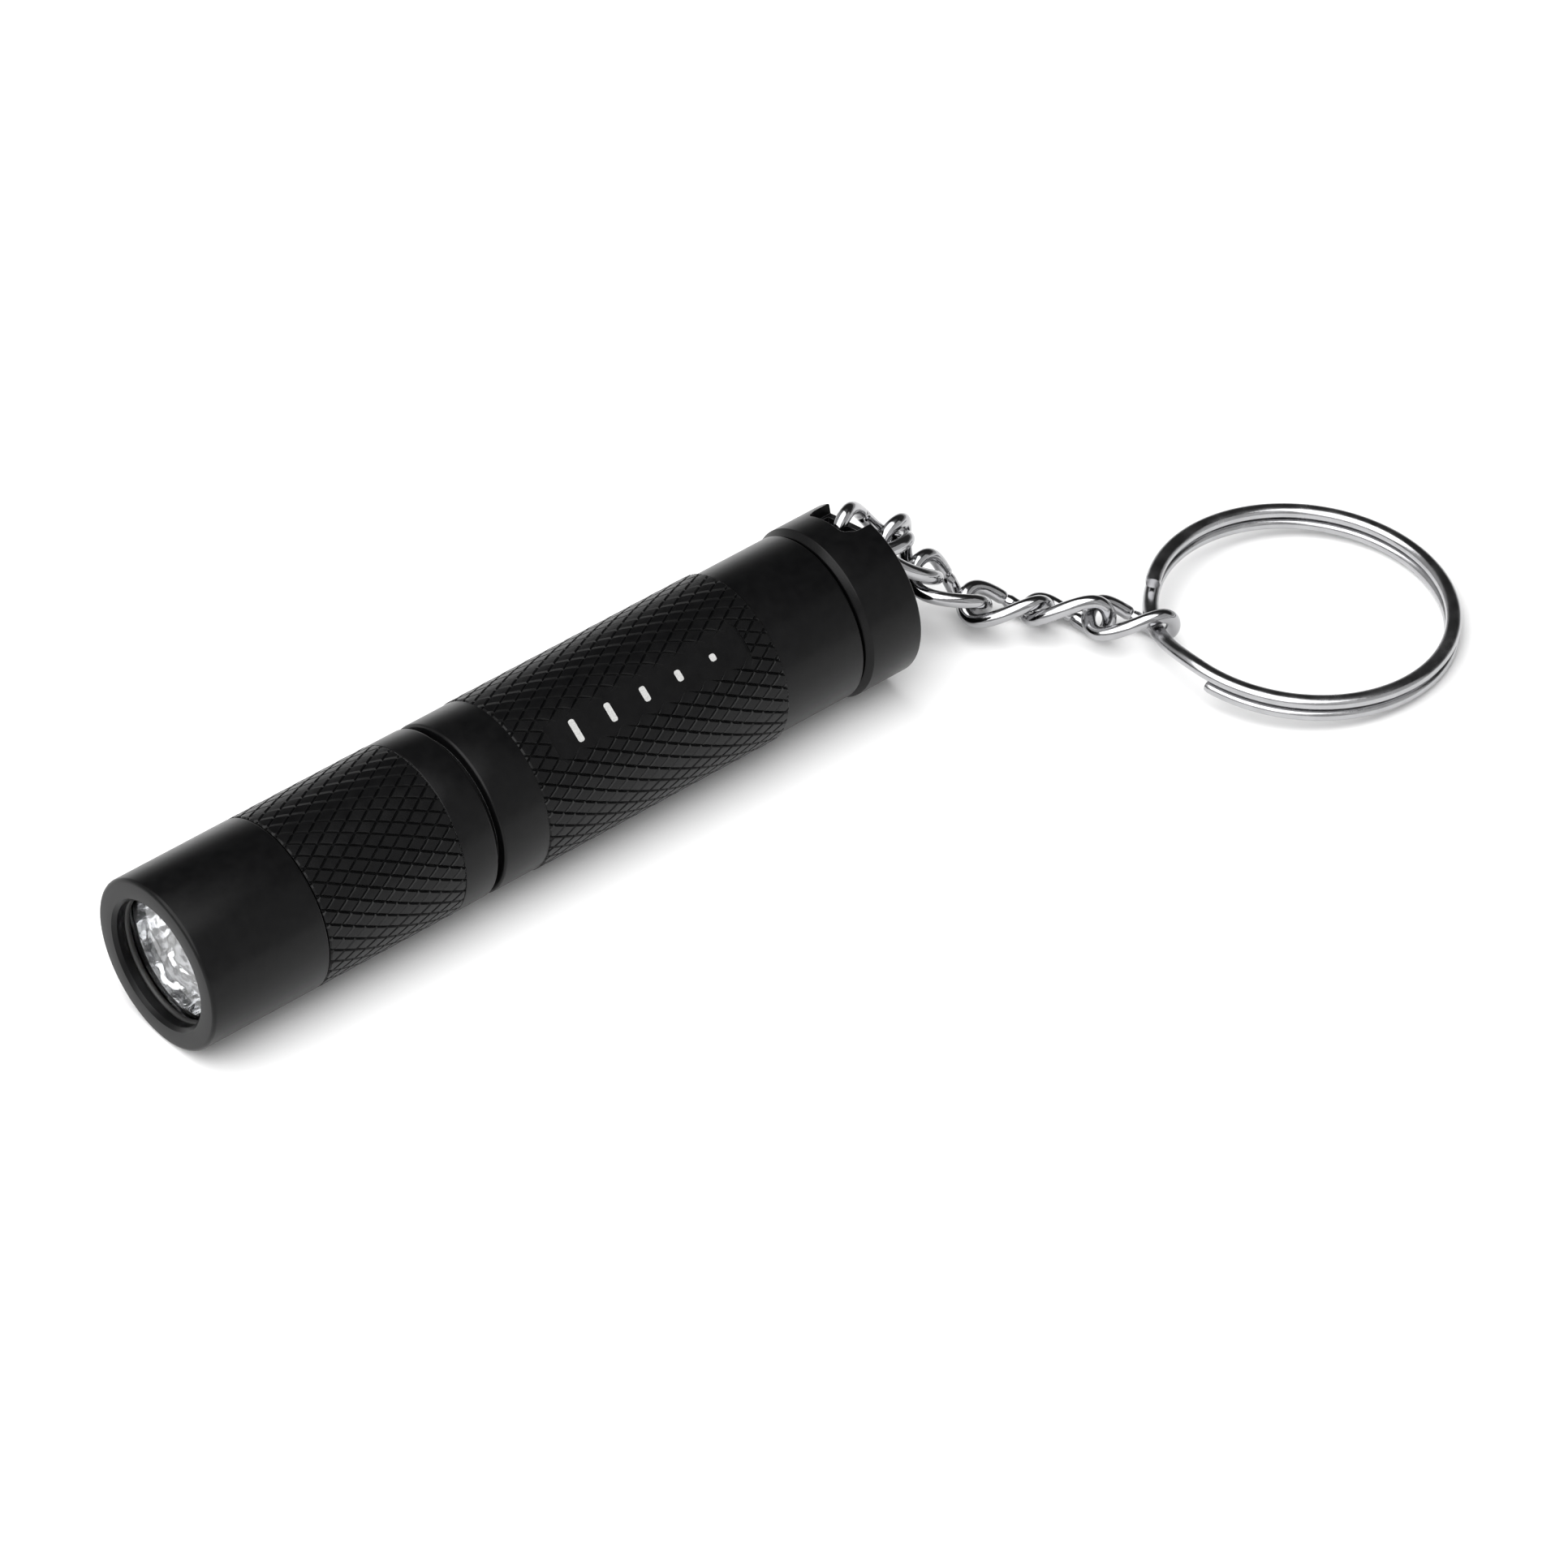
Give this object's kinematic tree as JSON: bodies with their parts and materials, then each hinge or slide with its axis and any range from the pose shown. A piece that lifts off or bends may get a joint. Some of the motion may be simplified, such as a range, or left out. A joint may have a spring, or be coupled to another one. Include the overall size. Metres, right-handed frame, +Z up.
{
  "type": "keychain flashlight",
  "caption": "Pocket flashlight with a knurled twist head, a removable tail cap, and a short chain with a split ring for keys.",
  "frame": {"origin": "on the resting plane, straight under the light's axis, below the knurled grip of the body, 41.6 mm behind the front rim", "axes": "+X along the light from the lens to the tail; +Z up from the surface that the light lies on; +Y to the left when looking from the lens end to the tail"},
  "size_m": [0.1095, 0.0391, 0.0143],
  "materials": {
    "anodised_black": "satin black hard anodising over turned aluminium",
    "seal_rubber": "black rubber",
    "lens_glass": "clear, polished",
    "reflector_mirror": "vacuum-metallised with an orange-peel texture",
    "led_silicone": "clear silicone dome over yellow phosphor",
    "white_ceramic": "white solder mask and ceramic",
    "circuit_board": "green solder mask",
    "black_component": "moulded epoxy",
    "contact_brass": "bright brass",
    "insulator_plastic": "natural nylon",
    "cell_metal": "bright steel skin",
    "cell_wrap": "printed shrink film, plain",
    "spring_steel": "plated spring wire",
    "chain_plating": "bright nickel plating over steel wire",
    "ring_plating": "bright nickel plating over steel wire, lightly brushed along the coil"
  },
  "bodies": {
    "body": {"body_tube": "anodised_black", "head_o_ring": "seal_rubber"},
    "cell": {"cell_can": "cell_metal", "cell_sleeve": "cell_wrap", "cell_button": "cell_metal"},
    "head": {"bezel_ring": "anodised_black", "lens_o_ring": "seal_rubber", "lens": "lens_glass", "reflector": "reflector_mirror", "led_dome": "led_silicone", "led_package": "white_ceramic", "led_board": "white_ceramic", "driver_board": "circuit_board", "driver_inductor": "black_component", "driver_chip": "black_component", "positive_contact": "contact_brass", "contact_insulator": "insulator_plastic", "head_sleeve": "anodised_black"},
    "tail_seal": {"tail_o_ring": "seal_rubber"},
    "tail": {"tail_cap": "anodised_black", "spring_contact": "contact_brass", "cell_spring": "spring_steel"},
    "tail_link": {"tail_link": "chain_plating"},
    "chain_link_1": {"chain_link_1": "chain_plating"},
    "chain_link_2": {"chain_link_2": "chain_plating"},
    "chain_link_3": {"chain_link_3": "chain_plating"},
    "chain_link_4": {"chain_link_4": "chain_plating"},
    "chain_link_5": {"chain_link_5": "chain_plating"},
    "ring": {"split_ring": "ring_plating"}
  },
  "joints": [
    {"name": "cell_slide", "type": "slide", "parent": "body", "child": "cell", "axis": [1, 0, 0], "range_m": [0, 0.000375], "deforming": ["cell_spring"]},
    {"name": "head_twist", "type": "hinge", "parent": "cell", "child": "head", "pos_m": [0, 0, 0.00715], "axis": [1, 0, 0], "range_deg": [0, 180]},
    {"name": "cap_travel", "type": "slide", "parent": "body", "child": "tail_seal", "axis": [1, 0, 0], "range_m": [0, 0.00225]},
    {"name": "cap_unscrew", "type": "hinge", "parent": "tail_seal", "child": "tail", "pos_m": [0, 0, 0.00715], "axis": [1, 0, 0], "range_deg": [0, 1080]},
    {"name": "tail_link_swing", "type": "hinge", "parent": "tail", "child": "tail_link", "pos_m": [0.02655, 0.00116, 0.01219], "axis": [0, 0.9744, -0.225], "range_deg": [-60, 12]},
    {"name": "link_1_turn", "type": "hinge", "parent": "tail_link", "child": "chain_link_1", "pos_m": [0.03051, 0.00064, 0.00992], "axis": [0.8236, -0.2676, 0.5], "range_deg": [-20, 34]},
    {"name": "link_2_swing", "type": "hinge", "parent": "chain_link_1", "child": "chain_link_2", "pos_m": [0.03289, -0.00013, 0.00559], "axis": [0.6947, 0.7193, 0], "range_deg": [-14, 35]},
    {"name": "link_3_turn", "type": "hinge", "parent": "chain_link_2", "child": "chain_link_3", "pos_m": [0.03576, -0.00291, 0.00258], "axis": [0.0648, -0.0583, 0.9962], "range_deg": [-30, 18]},
    {"name": "link_4_swing", "type": "hinge", "parent": "chain_link_3", "child": "chain_link_4", "pos_m": [0.03947, -0.00624, 0.00214], "axis": [0.829, 0.5592, 0], "range_deg": [-6, 40]},
    {"name": "link_5_turn", "type": "hinge", "parent": "chain_link_4", "child": "chain_link_5", "pos_m": [0.04225, -0.01038, 0.00249], "axis": [0.0493, -0.0493, 0.9976], "range_deg": [-35, 22]},
    {"name": "ring_swing", "type": "hinge", "parent": "chain_link_5", "child": "ring", "pos_m": [0.04578, -0.0139, 0.00214], "axis": [0.5, 0.866, 0], "range_deg": [-18, 6]}
  ],
  "couplings": [
    {"joint": "cell_slide", "follows": "head_twist", "m_per_rad": 0.00011937},
    {"joint": "cap_travel", "follows": "cap_unscrew", "m_per_rad": 0.00011937}
  ]
}
